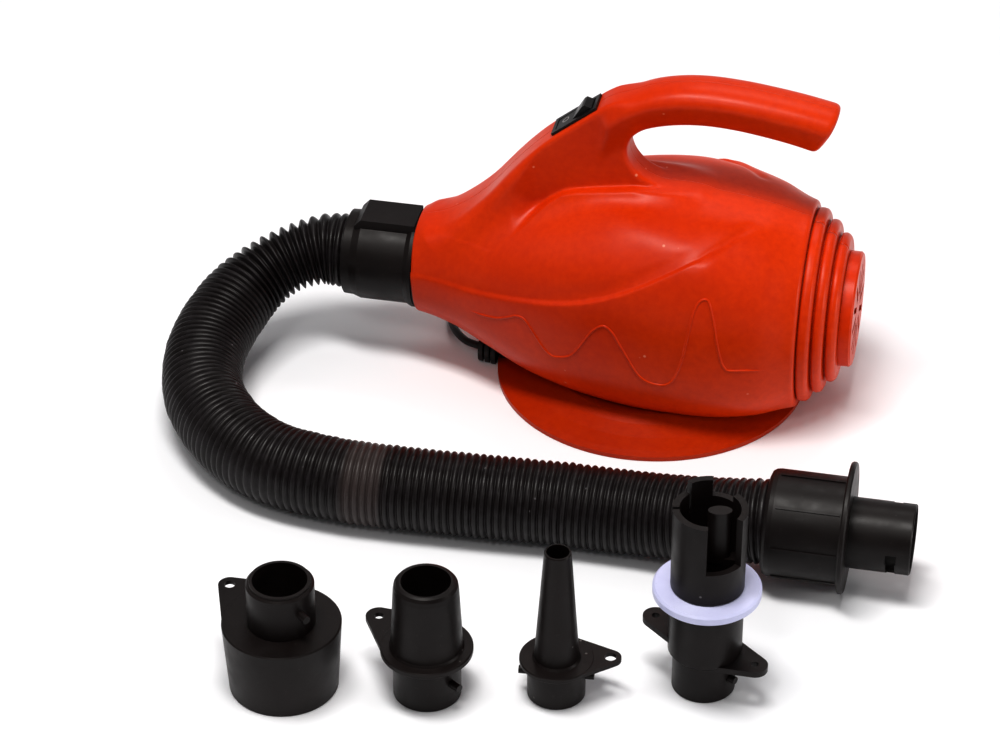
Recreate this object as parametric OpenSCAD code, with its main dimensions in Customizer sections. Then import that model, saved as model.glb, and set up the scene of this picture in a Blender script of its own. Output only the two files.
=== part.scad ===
// Mains air mattress pump with its hose and four valve adaptors, in millimetres.
// The origin is the middle of the round foot on the floor. The outlet points
// along -X, the air intake along +X, the carrying handle is on top.

/* [Housing] */
// Height of the motor and outlet axis above the floor
axis_z = 53; // [52.5:0.5:54]
// Wall thickness of the two housing shells
wall = 2.4; // [2:0.1:2.8]
// Radius of the round foot at the floor
foot_r = 80; // [78:1:84]
// Half width of the carrying handle
grip_w = 13.5; // [13:0.5:14]
// Half height of the carrying handle
grip_h = 12; // [11.5:0.5:12]

/* [Blower] */
// Radius of the impeller
fan_r = 36; // [30:1:36]
// Number of impeller blades
blade_count = 9; // [7:1:11]
// Radius of the motor shaft
shaft_r = 2.5; // [2:0.5:3]
// Radial play of the shaft in its bearings
shaft_play = 0.04; // [0.02:0.01:0.08]
// Radius of the armature core
armature_r = 15; // [14:0.5:15]

/* [Switch] */
// Slope of the ramp that carries the rocker switch
ramp_angle = 38.5; // [37.5:0.5:39.5]
// Angle between the two switch positions
rocker_throw = 20; // [14:1:22]

/* [Hose] */
// Outer radius of the corrugated hose
hose_r = 20.5; // [19:0.5:20.5]
// Outer radius of the plain tube at the free end of the hose
end_tube_r = 17; // [16.5:0.1:17]
// Wall of the tubes at both ends of the hose
tube_wall = 1.6; // [1.4:0.1:1.8]
// Turn that locks the hose coupling in the outlet
coupling_turn = 30; // [20:1:35]

/* [Power cord] */
// Outer radius of the mains cord
cord_r = 2; // [1.8:0.1:2]
// Mean radius of the stored coil
coil_r = 21; // [20:1:22]

/* [Adaptors] */
// Radius of the tube on the medium adaptor
medium_r = 15; // [14:0.5:15]
// Radius of the tip of the small adaptor
tip_r = 6.2; // [5.6:0.1:6.4]

/* [Hidden] */
$fn = 48;

orange = [0.85, 0.25, 0.04];
black = [0.1, 0.09, 0.09];
steel = [0.7, 0.7, 0.72];
copper = [0.75, 0.42, 0.2];

// Body sections at equal steps from the nose to the first rear ring:
// half width, height above the axis, depth below it, upper and lower roundness.
nose_x = -121;
ring_x = 79;
BODY = [[26.4, 26.4, 26.4, 2, 2], [31, 31, 31, 2, 2.1], [40, 39.5, 38, 2.2, 2.3],
        [49, 48, 44, 2.3, 2.6], [56, 54.5, 47.5, 2.4, 2.8], [61, 59, 49.8, 2.5, 2.9],
        [64, 61.5, 51, 2.5, 3], [65.2, 62.3, 51.4, 2.5, 3], [64, 61, 51.6, 2.5, 3],
        [60, 57.6, 51.5, 2.3, 2.7], [52.5, 52.5, 51.8, 2, 2.1]];
// Ramp under the switch and the web behind it: x, height of its top, half width.
RAMP = [[-114, 77, 20], [-106, 81, 20], [-98, 88.5, 19.5], [-86, 102, 18], [-70, 122, 16.5],
        [-56, 136.7, 15], [-26, 160.6, 13.5], [-17, 164, 13], [-13, 158, 12.5], [4, 158, 12.5]];
// Handle: x, height of its middle.
GRIP = [[-28, 143], [-17, 152], [-5, 158.6], [9, 162.4], [24, 163.8], [40, 163.1], [55, 161.2],
        [70, 158.6], [84, 155.4]];
grip_end_lean = 25;
// Rear rings: x where each starts, radius.
RINGS = [[ring_x, 49.4], [86, 44.2], [92.2, 38]];
rear_x = 98.2;
cap_r = 29.4;
cap_x = 104.6;

// Smooth curve through equally spaced values, at position t from 0 to len - 1.
function through(v, t) =
    let (i = min(floor(t), len(v) - 2), f = t - i,
         a = v[max(i - 1, 0)], b = v[i], c = v[i + 1], d = v[min(i + 2, len(v) - 1)])
    b + f / 2 * ((c - a) + f * ((2 * a - 5 * b + 4 * c - d) + f * (3 * (b - c) + d - a)));

// Section of a rounded body in the YZ plane at x, with a roundness for each half.
function oval(x, z, w, up, down, pu, pd, n) =
    [for (k = [0:n - 1])
        let (c = cos(360 * k / n), s = sin(360 * k / n), p = s >= 0 ? pu : pd)
        [x, w * sign(c) * pow(abs(c), 2 / p),
         z + (s >= 0 ? up : down) * sign(s) * pow(abs(s), 2 / p)]];

// Skins a list of equal rings, which run along +X, and closes both ends.
module loft(rings) {
    n = len(rings[0]);
    last = (len(rings) - 1) * n;
    polyhedron(
        [for (r = rings) each r],
        concat(
            [for (i = [1:n - 2]) [0, i, i + 1]],
            [for (i = [1:n - 2]) [last, last + i + 1, last + i]],
            [for (j = [0:len(rings) - 2], i = [0:n - 1])
                let (a = j * n + i, b = j * n + (i + 1) % n) each [[a, a + n, b], [b, a + n, b + n]]]));
}

// Tube of radius r swept along a list of points, n points round.
module sweep(path, r, n) {
    loft([for (i = [0:len(path) - 1])
        let (a = path[max(i - 1, 0)], b = path[min(i + 1, len(path) - 1)],
             t = (b - a) / norm(b - a),
             u0 = abs(t[2]) > 0.9 ? [1, 0, 0] : [0, 0, 1],
             s = cross(u0, t) / norm(cross(u0, t)), v = cross(t, s))
        [for (k = [0:n - 1]) path[i] + r * (cos(360 * k / n) * s + sin(360 * k / n) * v)]]);
}

// Places children on the motor axis at x, with their +Z turned to +X.
module on_axis(x = 0) translate([x, 0, axis_z]) rotate([0, 90, 0]) children();

module pipe(r, bore, h) difference() {
    cylinder(r = r, h = h);
    translate([0, 0, -1]) cylinder(r = bore, h = h + 2);
}

// ---- Housing ----

module body_form(inset) {
    steps = 22;
    loft([for (i = [0:steps])
        let (s = through(BODY, i * (len(BODY) - 1) / steps),
             end = inset == 0 ? 0 : i == 0 ? -1 : i == steps ? -inset : 0,
             x = nose_x + i * (ring_x - nose_x) / steps + end)
        oval(x, axis_z, s[0] - inset, s[1] - inset, s[2] - inset, s[3], s[4], 32)]);
}

module ring_form(inset) on_axis() rotate_extrude() polygon(concat(
    [[0, ring_x - 0.5 - inset]],
    [for (i = [0:2]) let (r = RINGS[i][1] - inset, x0 = RINGS[i][0] - (i == 0 ? 0.5 : 0) - inset,
                          x1 = (i < 2 ? RINGS[i + 1][0] : rear_x) - inset)
        each [[r, x0], [r, x1 - 1.5], [r - 1.5, x1]]],
    [[0, rear_x - inset]]));

// Arched section of the ramp: straight sides and a flat top with round shoulders.
function arch(x, z0, z1, w, r) =
    concat([[x, w, z0]],
        [for (a = [0:22.5:90]) [x, w - r + r * cos(a), z1 - r + r * sin(a)]],
        [for (a = [90:22.5:180]) [x, r - w + r * cos(a), z1 - r + r * sin(a)]],
        [[x, -w, z0]]);

module ramp_form(inset) difference() {
    loft([for (p = RAMP) arch(p[0], axis_z, p[1] - inset, p[2] - inset, 6.5 - inset / 2)]);
    // Finger gap below the handle, with its rounded front.
    rotate([90, 0, 0]) linear_extrude(60, center = true)
        polygon([[-14.5 - inset, 141], [-13.6 - inset, 133], [-9.5 - inset, 126],
                 [-3, 120.5 - inset], [6, 116.5 - inset], [60, 108], [60, 162], [-6, 158],
                 [-12.5 - inset, 148]]);
}

module grip_form(inset) {
    steps = 16;
    first = GRIP[0][0];
    loft([for (i = [0:steps])
        let (p = through(GRIP, i * (len(GRIP) - 1) / steps), u = max(0, (p[0] - 24) / 60),
             lean = tan(grip_end_lean * u), x = p[0] - (i == steps ? inset : 0))
        [for (q = oval(0, 0, grip_w - inset, grip_h - inset, grip_h - inset, 2.5, 2.1, 20))
            [x + q[2] * lean, q[1], p[1] + q[2]]]]);
}

module housing_form(inset) {
    body_form(inset);
    ring_form(inset);
    ramp_form(inset);
    grip_form(inset);
}

// Space under the upper surface of the foot, which the body sits on.
foot_rim = 2.6;
module foot_dome(gap) rotate_extrude()
    polygon([[0, -5], [foot_r + gap, -5], [foot_r + gap, foot_rim + gap], [foot_r - 4, 3.8 + gap],
             [foot_r - 12, 5.8 + gap], [foot_r - 20, 8.4 + gap], [foot_r - 26, 11 + gap],
             [0, 11 + gap]]);

// Outer radius of the rubber rings that carry the motor.
mount_r = 36.4;
// Shell screws: x, z of each boss.
BOSSES = [[-86, 79], [-80, 25], [-19, 151], [58, 99], [74, 158]];
boss_r = 3.6;

ramp_mid = [-41.2, 0, 148.6];
module on_ramp() translate(ramp_mid) rotate([0, -ramp_angle, 0]) children();

// One housing shell: side is -1 for the left one and 1 for the right one.
module shell(side) color(orange) {
    intersection() {
        translate([-200, side > 0 ? 0 : -150, 0]) cube([400, 150, 250]);
        difference() {
            union() {
                difference() {
                    housing_form(0);
                    housing_form(wall);
                }
                // Screw bosses, and the ribs that hold the motor and the fan cover.
                intersection() {
                    housing_form(wall / 2);
                    union() {
                        for (b = BOSSES)
                            translate([b[0], 0, b[1]]) rotate([90, 0, 0])
                                hull() {
                                    cylinder(r = boss_r, h = 140, center = true, $fn = 24);
                                    translate([0, 1, 0])
                                        cylinder(r = boss_r, h = 140, center = true, $fn = 24);
                                }
                        for (x = [-34, 41]) on_axis(x) difference() {
                            cylinder(r = 75, h = 2);
                            cylinder(r = mount_r + 0.1, h = 6, center = true);
                        }
                        on_axis(60) difference() {
                            cylinder(r = 75, h = 2);
                            cylinder(r = 41.2, h = 6, center = true);
                        }
                    }
                }
            }
            foot_dome(0.1);
            translate([exit_x - 1, relief_y, relief_z]) rotate([0, 90, 0]) cylinder(r = 6.1, h = 17.2);
            // Mouth of the outlet, bore of the intake and window of the switch.
            on_axis(nose_x - 2) cylinder(r = 24.2, h = 12);
            on_axis(rear_x - 6) cylinder(r = 26.6, h = 12);
            on_ramp() cube([28, 13, 30], center = true);
            // Clearance and tapping holes of the shell screws.
            for (b = BOSSES)
                translate([b[0], 0, b[1]]) rotate([90, 0, 0]) {
                    cylinder(r = 1.25, h = 24, center = true, $fn = 24);
                    translate([0, 0, -12]) cylinder(r = 1.8, h = 12, $fn = 24);
                    translate([0, 0, -90]) cylinder(r = 3.2, h = 80, $fn = 24);
                }
            // Air slots in the steps between the rear rings.
            for (i = [0:2], a = [20:40:340])
                on_axis((i < 2 ? RINGS[i + 1][0] : rear_x) - 1.5) rotate(a)
                    hull() for (t = [-13, 13])
                        rotate(t) translate([RINGS[i][1] - 3.1, 0, -2])
                            cylinder(r = 0.9, h = 6, $fn = 12);
        }
    }
}
module shell_left() shell(-1);
module shell_right() shell(1);

module foot() color(orange) difference() {
    union() {
        foot_dome(0);
        // Gland that the strain relief is pressed into.
        translate([exit_x, relief_y, relief_z]) rotate([0, 90, 0]) cylinder(r = 6, h = 16);
    }
    translate([0, 0, -6]) cylinder(r = 90, h = 6.3);
    rotate_extrude()
        polygon([[0, -1], [foot_r - 2.4, -1], [foot_r - 2.4, 1.2], [foot_r - 5, 1.9],
                 [foot_r - 12, 3.4], [foot_r - 20, 5.9], [foot_r - 27, 8.6], [0, 8.6]]);
    for (x = [-40, 40], y = [-25, 25]) translate([x, y, 8]) cylinder(r = 1.8, h = 6);
    translate([exit_x - 1, relief_y, relief_z]) rotate([0, 90, 0]) cylinder(r = 3.15, h = 25);
    translate([exit_x, relief_y, relief_z]) rotate([0, -90, 0]) cylinder(r = 5.1, h = 9);
}

module base_plate() color(black) difference() {
    union() {
        translate([0, 0, 1.5]) cylinder(r = foot_r - 12, h = 1.6);
        for (x = [-40, 40], y = [-25, 25]) translate([x, y, 3]) cylinder(r = 4, h = 5.5);
    }
    for (x = [-40, 40], y = [-25, 25]) translate([x, y, 1]) cylinder(r = 1.8, h = 9);
    for (x = [-40, 40], y = [-25, 25]) translate([x, y, 1]) cylinder(r = 3.4, h = 2.5);
}

module base_pad() color(black) cylinder(r = foot_r - 12.4, h = 1.4);

module screw(r, head, h) {
    cylinder(r = r, h = h);
    translate([0, 0, h - 0.01]) cylinder(r = head, h = 1.6);
}

module foot_screws() color(steel)
    for (x = [-40, 40], y = [-25, 25])
        translate([x, y, 11]) rotate([180, 0, 0]) difference() {
            screw(1.5, 3, 7.6);
            translate([0, 0, 8.2]) cube([4, 0.8, 2.2], center = true);
        }

module shell_screws() color(steel)
    for (b = BOSSES)
        translate([b[0], -9, b[1]]) rotate([-90, 0, 0]) difference() {
            screw(1.2, 2.8, 21.1);
            translate([0, 0, 22.2]) cube([3.6, 0.8, 1.6], center = true);
        }

duct_bore = end_tube_r + 0.3;
module outlet_duct() color(black) difference() {
    union() {
        on_axis() rotate_extrude()
            polygon([[duct_bore, -122], [24.9, -122], [24.9, -121.1], [24, -121.1], [24, -115],
                     [20, -112], [19.6, -90], [22, -82], [30, -60], [28.3, -60], [20.3, -82],
                     [duct_bore, -92]]);
        // Two bayonet pins that the hose coupling turns onto.
        for (s = [-1, 1]) translate([-108, s * (duct_bore + 0.6), axis_z]) rotate([-90, 0, 0])
            translate([0, 0, -1]) cylinder(r = 1.6, h = 2, center = true);
    }
}

cap_t = cap_x - rear_x - 0.1;
module end_cap() color(orange) on_axis(rear_x + 0.1) difference() {
    rotate_extrude() polygon([[0, 5], [24, 5], [24, -5.5], [26.3, -5.5], [26.3, 0], [cap_r, 0],
                              [cap_r, cap_t - 1], [cap_r - 1, cap_t], [0, cap_t]]);
    for (a = [0:30:330]) rotate(a) translate([8, -1.5, 3]) cube([15, 3, 6]);
}

module dust_screen() color([0.3, 0.3, 0.3]) on_axis(rear_x - 1) difference() {
    cylinder(r = 23.8, h = 1);
    for (x = [-18:6:18], y = [-12:6:12]) translate([x - 2, y - 2, -1]) cube([4, 4, 4]);
}

// ---- Switch, in the frame of the ramp: +Z stands out of it, +X runs up it ----

module switch_housing() color(black) on_ramp() difference() {
    union() {
        translate([-14.2, -7.4, 0]) cube([28.4, 14.8, 1.4]);
        translate([-13.2, -6.3, -13]) cube([26.4, 12.6, 13.2]);
    }
    translate([-12, -5.1, -11.5]) cube([24, 10.2, 14]);
    translate([0, 0, -1]) rotate([90, 0, 0]) cylinder(r = 1.3, h = 20, center = true);
}

rocker_axis = -1;
module switch_rocker() color(black) on_ramp() translate([0, 0, rocker_axis]) {
    rotate([90, 0, 0]) cylinder(r = 1.25, h = 12.8, center = true);
    rotate([90, 0, 0]) linear_extrude(9.4, center = true)
        polygon([[-11.2, -1], [-11.4, 2.2], [-1, 2.3], [7.2, 5.5], [8.8, 5.5], [10.9, 2.4],
                 [9.6, -3], [3, -6], [-3, -6], [-9, -4]]);
}

module switch_terminals() color(copper) on_ramp()
    for (x = [-9, 0, 9]) translate([x - 0.4, -2.4, -21]) cube([0.8, 4.8, 8]);

// ---- Motor ----

module field_core() color(steel) on_axis(4) difference() {
    linear_extrude(28) difference() {
        intersection() {
            square([50, 62], center = true);
            circle(r = 34);
        }
        circle(r = armature_r + 0.6);
        for (s = [-1, 1], t = [-1, 1]) translate([s * 17.5, t * 15.1])
            square([6.8, 7.8], center = true);
    }
    for (s = [-1, 1], t = [-1, 1]) translate([s * 21.5, t * 22, -1]) cylinder(r = 1.7, h = 30);
}

module field_coils() color(copper) on_axis(-3) for (s = [-1, 1])
    difference() {
        translate([s * 17.5 - 3.2, -18.7, 0]) cube([6.4, 37.4, 42]);
        translate([s * 17.5 - 4, -11.5, 6.8]) cube([8, 23, 28.4]);
    }

// Round motor bracket: a rim, two crossed arms and the bearing seat, open towards +X.
module bracket() difference() {
    union() {
        pipe(mount_r - 3, 27, 2.5);
        for (a = [0, 90]) rotate(a) translate([-28, -5, 0]) cube([56, 10, 2.5]);
        cylinder(r = 10.5, h = 7);
    }
    translate([0, 0, 1]) cylinder(r = 8, h = 7);
    translate([0, 0, -1]) cylinder(r = shaft_r + 1.5, h = 9);
    at_stator_screws() translate([0, 0, -1]) cylinder(r = 1.7, h = 9);
}

module at_stator_screws()
    for (s = [-1, 1], t = [-1, 1]) translate([s * 21.5, t * 22, 0]) children();

module front_bracket() color(black) {
    on_axis(-34) bracket();
    on_axis(-31.6) at_stator_screws() pipe(2.6, 1.7, 35.5);
}

module rear_bracket() color(black) {
    on_axis(40.5) bracket();
    on_axis(32.1) at_stator_screws() pipe(2.6, 1.7, 8.5);
}

module bracket_screws() color(steel) on_axis(-36) at_stator_screws() {
    cylinder(r = 1.5, h = 80);
    cylinder(r = 2.7, h = 2);
}

module bearing() pipe(7.99, shaft_r + shaft_play, 5);
module front_bearing() color(steel) on_axis(-33) bearing();
module rear_bearing() color(steel) on_axis(41.5) bearing();

// Rubber rings between the rims of the motor brackets and the ribs of the shells.
module mount_rings() color(black)
    for (x = [-34.8, 39.9]) on_axis(x) pipe(mount_r, mount_r - 2.9, 4);

brush_x = -16;
module brush_holders() color([0.8, 0.65, 0.3]) for (s = [-1, 1])
    translate([brush_x, s * 17.5, axis_z]) difference() {
        union() {
            cube([8, 15, 8], center = true);
            translate([-15.4, s * 5 - 2.5, -4]) cube([12, 5, 8]);
        }
        cube([5.2, 20, 5.2], center = true);
    }

module carbon_brushes() color([0.2, 0.2, 0.22]) for (s = [-1, 1])
    translate([brush_x, s * 13.4, axis_z]) cube([5, 10, 5], center = true);

module brush_springs() color(steel) for (s = [-1, 1])
    translate([brush_x, s * 18.4, axis_z]) rotate([-90 * s, 0, 0]) pipe(2, 1.3, 6.5);

module suppressor() color([0.85, 0.7, 0.1]) translate([-60, -3.5, 98]) cube([14, 7, 11]);

lead_route = [[-28, 1, 130.5], [-27, 3, 120], [-26, 6, 109], [-24, 16, 99], [-21, 28, 84],
              [-18, 32, 66], [-16, 30.5, 57], [-16, 26.2, 53]];
module motor_leads() color([0.1, 0.2, 0.6]) for (s = [-1, 1])
    sweep([for (p = lead_route) [p[0], s * p[1], p[2]]], 0.9, 8);

// ---- Rotor, which turns about the motor axis ----

module motor_shaft() color(steel) on_axis(-42) cylinder(r = shaft_r, h = 113);

module armature_core() color(steel) on_axis(4) difference() {
    pipe(armature_r, shaft_r, 28);
    for (a = [0:30:330]) rotate(a) translate([armature_r - 3.5, -0.8, -1]) cube([5, 1.6, 30]);
}

module armature_windings() color(copper) {
    on_axis(-5) pipe(12.5, shaft_r, 9);
    on_axis(32) pipe(12.5, shaft_r, 7);
}

module commutator() color(copper) on_axis(-22) difference() {
    pipe(8, shaft_r, 15);
    for (a = [0:30:330]) rotate(a) translate([7, -0.2, -1]) cube([2, 0.4, 14]);
}

fan_x = 52;
// Plate behind the impeller whose windows straighten the air on its way to the motor.
module diffuser() color(black) on_axis(49.2) difference() {
    pipe(38.4, 12, 1.6);
    for (a = [0:40:320]) rotate(a) translate([28, -6, -1]) cube([8, 9, 4]);
}

module impeller() color([0.85, 0.85, 0.8]) on_axis(fan_x) {
    pipe(fan_r, shaft_r, 1.6);
    pipe(7, shaft_r, 12);
    translate([0, 0, 12]) pipe(fan_r, fan_r - 16, 1.2);
    difference() {
        for (a = [0:360 / blade_count:359]) rotate(a) translate([fan_r - 15.5, 0, 1.5])
            rotate(50) translate([0, -0.6, 0]) cube([15, 1.2, 10.6]);
        difference() {
            translate([0, 0, 1]) cylinder(r = fan_r + 20, h = 12);
            cylinder(r = fan_r, h = 14);
        }
    }
}

module impeller_nut() color(steel) on_axis(fan_x + 12.1) difference() {
    cylinder(r = 4.6, h = 3.5, $fn = 6);
    translate([0, 0, -1]) cylinder(r = shaft_r, h = 6);
}

module fan_cover() color(black) on_axis(49) difference() {
    rotate_extrude() polygon([[38.6, 0], [41, 0], [41, 20], [39.6, 21.4], [18, 21.4], [18, 19],
                              [38.6, 19]]);
}

// ---- Power cord ----

exit_x = -75;
relief_y = -5;
relief_z = 6.5;
relief_tip_x = -90.4;
module cord_clamp() color(black) difference() {
    translate([-50, relief_y - 5, 3.3]) cube([7, 10, 5.2]);
    translate([-40, relief_y, relief_z]) rotate([0, -90, 0]) cylinder(r = cord_r + 0.02, h = 20);
}

// Straight end of the cord, from the clamp in the foot to the tip of the strain relief.
module inner_cord() color(black)
    translate([-42, relief_y, relief_z]) rotate([0, -90, 0])
        cylinder(r = cord_r, h = -42 - relief_tip_x);

module strain_relief() color(black) translate([exit_x, relief_y, relief_z])
    rotate([0, -90, 0]) difference() {
        tip = exit_x - relief_tip_x;
        union() {
            translate([0, 0, -12]) cylinder(r = 3.1, h = 14);
            cylinder(r = 5, h = 3.4);
            cylinder(r1 = 4, r2 = 2.8, h = tip);
            // Wide ribs, flat where they stand over the floor; +X is up in this frame.
            intersection() {
                for (i = [0:2]) translate([0, 0, 5.5 + 3.5 * i])
                    cylinder(r = 8.8 - 0.6 * i, h = 2.3);
                translate([0.2 - relief_z, -12, 0]) cube([20, 24, 20]);
            }
        }
        translate([0, 0, -14]) cylinder(r = cord_r + 0.02, h = 40);
    }

// Route of the cord from the strain relief round behind the pump to the stored coil.
cord_route = [[relief_tip_x, relief_y, relief_z], [-98, -1.5, 6], [-105, 7, 4.8], [-110, 17, 3.6],
              [-112, 28, 2.6], [-109, 39, 2.1], [-101, 50, 2.1], [-88, 60, 2.1], [-73, 68, 2.1],
              [-57, 75, 2.1], [-41, 81, 2.1], [-26, 85.5, 2.3], [-11, 88, 2.6], [4, 88, 2.9]];
module power_cord() color(black) {
    steps = 2 * (len(cord_route) - 1);
    sweep([for (i = [0:steps]) through(cord_route, i / 2)], cord_r, 8);
}

coil_mid = [10, 113, 6.4];
module cord_coil() color(black) translate(coil_mid) rotate_extrude() translate([coil_r, 0])
    polygon([[8.1, -1.8], [8.1, 1.8], [4.8, 5.5], [-4.8, 5.5], [-8.1, 1.8], [-8.1, -1.8],
             [-4.8, -5.5], [4.8, -5.5]]);

module cord_tie() color(black) translate(coil_mid + [coil_r, 0, 0]) difference() {
    cube([18.6, 6, 12.7], center = true);
    cube([16.6, 8, 11.1], center = true);
}

plug_mid = [-35, 137, 9.2];
module plug_body() color(black) translate(plug_mid) {
    difference() {
        cube([30, 26, 18], center = true);
        for (s = [-1, 1]) translate([-19, s * 18, 0]) rotate(s * 35)
            cube([30, 16, 20], center = true);
    }
    // Bend protector of the cord.
    translate([14.5, 0, 0]) rotate([0, 90, 0]) cylinder(r1 = 3.4, r2 = 2.7, h = 14);
}
module plug_pins() color(steel) for (s = [-1, 1])
    translate([plug_mid[0] - 14.5, plug_mid[1] + s * 6, plug_mid[2]]) rotate([0, -90, 0])
        cylinder(r = 2, h = 19);

// ---- Hose ----

coupling_x = -160;
module hose_coupling() color(black) difference() {
    union() {
        on_axis() rotate_extrude()
            polygon([[hose_r + 0.4, coupling_x], [22, coupling_x], [22.2, coupling_x + 4.5],
                     [23.6, coupling_x + 8.5], [23.6, -127], [25, -124.4], [25, -122.6],
                     [end_tube_r, -122.6], [end_tube_r, -98],
                     [end_tube_r - tube_wall, -98], [end_tube_r - tube_wall, -141],
                     [hose_r + 0.4, -145]]);
        // Broad raised key along the top, with a sloping end.
        translate([0, 0, axis_z]) rotate([90, 0, 0]) linear_extrude(21, center = true)
            polygon([[coupling_x + 5, 20.6], [coupling_x + 5, 22.2], [coupling_x + 8.5, 26],
                     [-123.2, 26], [-123.2, 20.6]]);
    }
    // Bayonet slots: the turn, then the way out.
    for (a = [90, 270]) on_axis(-110.1) rotate(a - coupling_turn) {
        rotate(-6.5) rotate_extrude(angle = coupling_turn + 13)
            translate([end_tube_r - 3, 0]) square([4, 4.2]);
        translate([end_tube_r - 3, -2, 0]) cube([4, 4, 20]);
    }
}

module coupling_gasket() color([0.25, 0.25, 0.25]) on_axis(-116) pipe(17.25, 17, 2);

hose_route = [[-145.4, 0, axis_z], [-160, 0, axis_z], [-176, -2, 52.5], [-194, -10.5, 47.5],
              [-208, -25, 40], [-217, -47, 32], [-219, -71, 27], [-213, -97, 24],
              [-202, -116, 22.5], [-185, -134, 21.5], [-162, -147.5, 21], [-130, -153.5, 21],
              [-100, -154, 21], [-60, -152.5, 21], [-20, -150.5, 21], [15, -150.5, 21.2],
              [42, -152.5, 23.6], [63, -154.6, 27], [79, -155, 29.2], [90, -155, 29.6]];
module hose_tube() color(black) {
    steps = 3 * (len(hose_route) - 1);
    sweep([for (i = [0:steps]) through(hose_route, i / 3)], hose_r, 12);
}

module at_end(x) translate([x, -155, 29.6]) rotate([0, 90, 0]) children();

end_bore = end_tube_r - 1.2;
flange_lift = 2.2;
// Height of the seats of the pins, from the inner end of the end tube.
lock_z = 48.8;
module hose_end_cuff() color(black) at_end(82) {
    rotate_extrude() polygon([[hose_r + 0.4, 0], [22.6, 0], [24.6, 0.8], [25.6, 2.2], [26, 4.4],
                              [26, 37], [end_tube_r, 37], [end_tube_r, 12], [hose_r + 0.4, 8]]);
    for (a = [37:45:352]) rotate(a) translate([24.8, -0.7, 5.5]) cube([1.7, 1.4, 30.5]);
}

module hose_end_tube() color(black) at_end(94.1) difference() {
    union() {
        rotate_extrude() polygon([[end_bore, 0], [end_tube_r, 0], [end_tube_r, 57.4],
                                  [end_tube_r - 0.5, 58], [end_bore, 58]]);
        // Flange that the cuff butts on, set a little high on the tube.
        translate([-flange_lift, 0, 25]) difference() {
            rotate_extrude() polygon([[0, 0], [31, 0], [31.6, 0.7], [31.6, 2.1], [31, 2.8], [0, 2.8]]);
            translate([flange_lift, 0, -1]) cylinder(r = end_tube_r - 0.4, h = 5);
        }
    }
    // Bayonet slots: the seat of an adaptor's pin, the turn, and the way in.
    for (a = [94, 274]) rotate(a) {
        translate([end_bore - 3, -2.6, lock_z - 2.6]) cube([6, 5.2, 5.2]);
        translate([0, 0, lock_z - 2.2]) linear_extrude(4.4)
            polygon([[0, 0], for (t = [0:6.625:53]) 22 * [cos(t), sin(t)]]);
        rotate(53) translate([end_bore - 3, -2.2, lock_z - 1.8]) cube([6, 4.4, 20]);
    }
}

// ---- Adaptors, each standing on the floor at its own place ----

large_at = [-122, -283.5, 0];
medium_at = [-56, -276, 0];
small_at = [2, -264.4, 0];
valve_at = [67, -244.4, 0];
spigot_r = end_bore - 0.15;

// Flat loop of an adaptor, tangent to its drum of radius r, with a hole in its end.
module loop_tab(r, reach, end_r, hole_r, h) difference() {
    side = acos((r - end_r) / reach);
    linear_extrude(h) {
        translate([reach, 0]) circle(end_r);
        polygon([[reach + end_r * cos(side), end_r * sin(side)], [r * cos(side), r * sin(side)],
                 [r * cos(side), -r * sin(side)],
                 [reach + end_r * cos(side), -end_r * sin(side)]]);
    }
    translate([reach, 0, -1]) cylinder(r = hole_r, h = h + 2);
}

// Radial bayonet pin that stands out of a cylinder of radius r by reach, at height z.
module bayonet_pin(r, z, reach) translate([r - 1, 0, z]) rotate([0, 90, 0])
    cylinder(r = 1.9, h = 1 + reach);

module nozzle_large() color(black) translate(large_at) difference() {
    union() {
        rotate_extrude() polygon([[0, 0], [24.8, 0], [25.2, 0.5], [27.5, 35.4], [26.9, 36],
                                  [spigot_r, 36], [spigot_r, 57.6], [spigot_r - 0.9, 58.6],
                                  [14.3, 58.6], [14.1, 59.6], [0, 59.6]]);
        translate([0, 0, 33.8]) rotate(145) loop_tab(27, 37, 5.4, 2.6, 2);
        for (a = [-41, 139]) rotate(a) bayonet_pin(spigot_r, 49.5, 5.5);
    }
    translate([0, 0, -1]) cylinder(r = 23, h = 35);
    cylinder(r = 12.6, h = 70);
}

module nozzle_medium() color(black) translate(medium_at) difference() {
    union() {
        rotate_extrude() polygon([[0, 0], [spigot_r - 0.5, 0], [spigot_r, 0.5], [spigot_r, 24],
                                  [20.8, 24], [21.3, 24.5], [21.3, 26.5], [20.8, 27],
                                  [17.2, 27], [16.6, 28.2], [medium_r, 59.5],
                                  [medium_r - 0.4, 62], [medium_r - 1.4, 63.3],
                                  [medium_r - 2.7, 63.8], [0, 63.8]]);
        translate([0, 0, 24.6]) rotate(148) loop_tab(20.6, 31, 6.2, 2.2, 2.2);
        for (a = [-33, 147]) rotate(a) bayonet_pin(spigot_r, 13.5, 5.5);
    }
    translate([0, 0, -1]) cylinder(r = spigot_r - 1.8, h = 22);
    cylinder(r = 11.4, h = 70);
}

module nozzle_small() color(black) translate(small_at) difference() {
    union() {
        rotate_extrude() polygon([[0, 0], [12.9, 0], [13.4, 0.5], [13.4, 18.4], [16.7, 18.4],
                                  [17.1, 18.8], [17.1, 20.4], [16.7, 20.8], [11.2, 20.8],
                                  [10.4, 21.8], [tip_r, 80.4], [tip_r - 0.4, 81], [0, 81]]);
        translate([0, 0, 18.6]) rotate(12) loop_tab(16.7, 24.6, 5, 2.8, 2);
        for (a = [4, 184]) rotate(a) bayonet_pin(13.4, 11.5, 4);
    }
    translate([0, 0, -1]) cylinder(r = 11.6, h = 18);
    translate([0, 0, 16]) cylinder(r1 = 8.6, r2 = tip_r - 1, h = 66);
}

// Slice of a disc of radius 24 between two angles.
module sector(from, to) polygon([[0, 0], for (i = [0:12]) let (t = from + (to - from) * i / 12)
    24 * [cos(t), sin(t)]]);

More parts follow.
